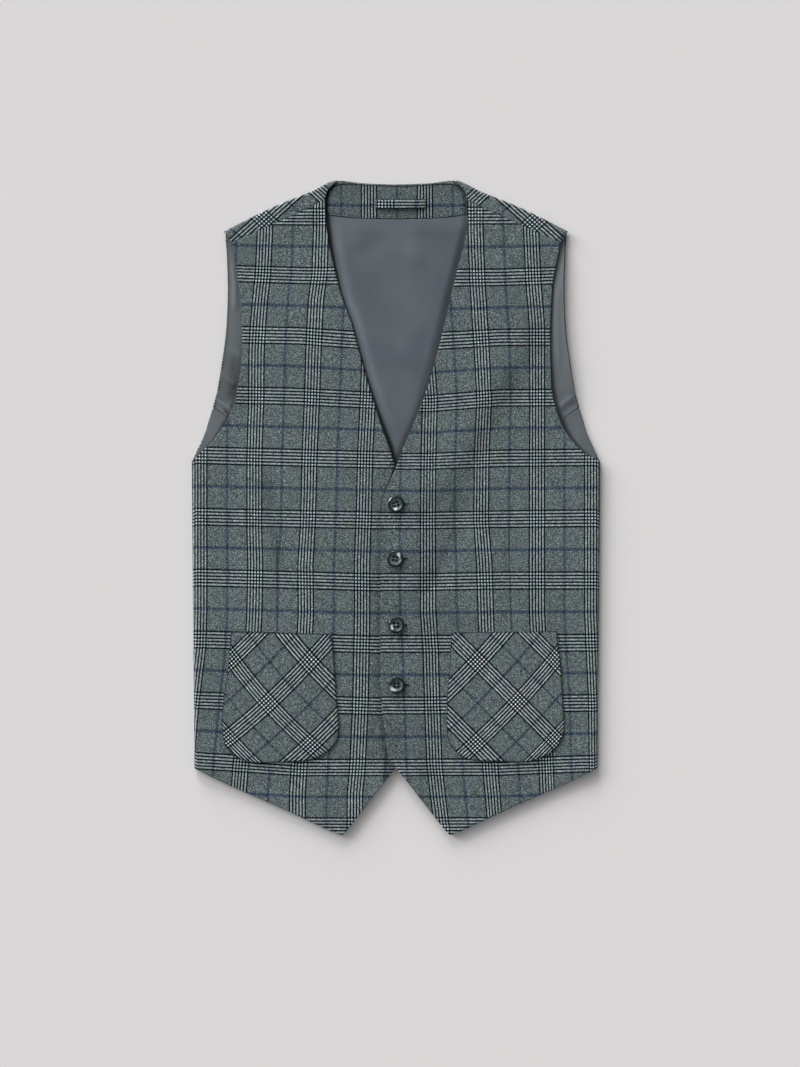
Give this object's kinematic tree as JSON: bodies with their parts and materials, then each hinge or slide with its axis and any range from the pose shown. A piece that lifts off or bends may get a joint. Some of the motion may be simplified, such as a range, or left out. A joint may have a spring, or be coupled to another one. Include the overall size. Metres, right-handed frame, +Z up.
{
  "type": "suit waistcoat",
  "caption": "Buttoned V-neck suit waistcoat of checked wool with a satin back lining and bias-cut patch pockets, lying flat on its back, front side up.",
  "frame": {"origin": "middle of the garment's outline, on the surface it lies on", "axes": "+X towards the wearer's left side, +Y up the centre back from hem to neck, +Z up out of the front, away from the surface"},
  "size_m": [0.4498, 0.7204, 0.0115],
  "materials": {
    "check_cloth": "grey-green worsted wool in a glen check with a blue windowpane, dry and matt",
    "lining_satin": "smooth slate-grey satin lining with a soft sheen",
    "dark_button": "glossy mottled dark slate, four holes and a raised rim"
  },
  "bodies": {
    "root": {"front_left": "check_cloth", "front_right": "check_cloth", "back": "check_cloth", "back_lining": "lining_satin", "side_lining_left": "lining_satin", "side_lining_right": "lining_satin", "neck_facing": "check_cloth", "hanger_loop": "check_cloth", "pocket_left": "check_cloth", "pocket_right": "check_cloth", "button_1": "dark_button", "button_2": "dark_button", "button_3": "dark_button", "button_4": "dark_button"}
  },
  "joints": []
}
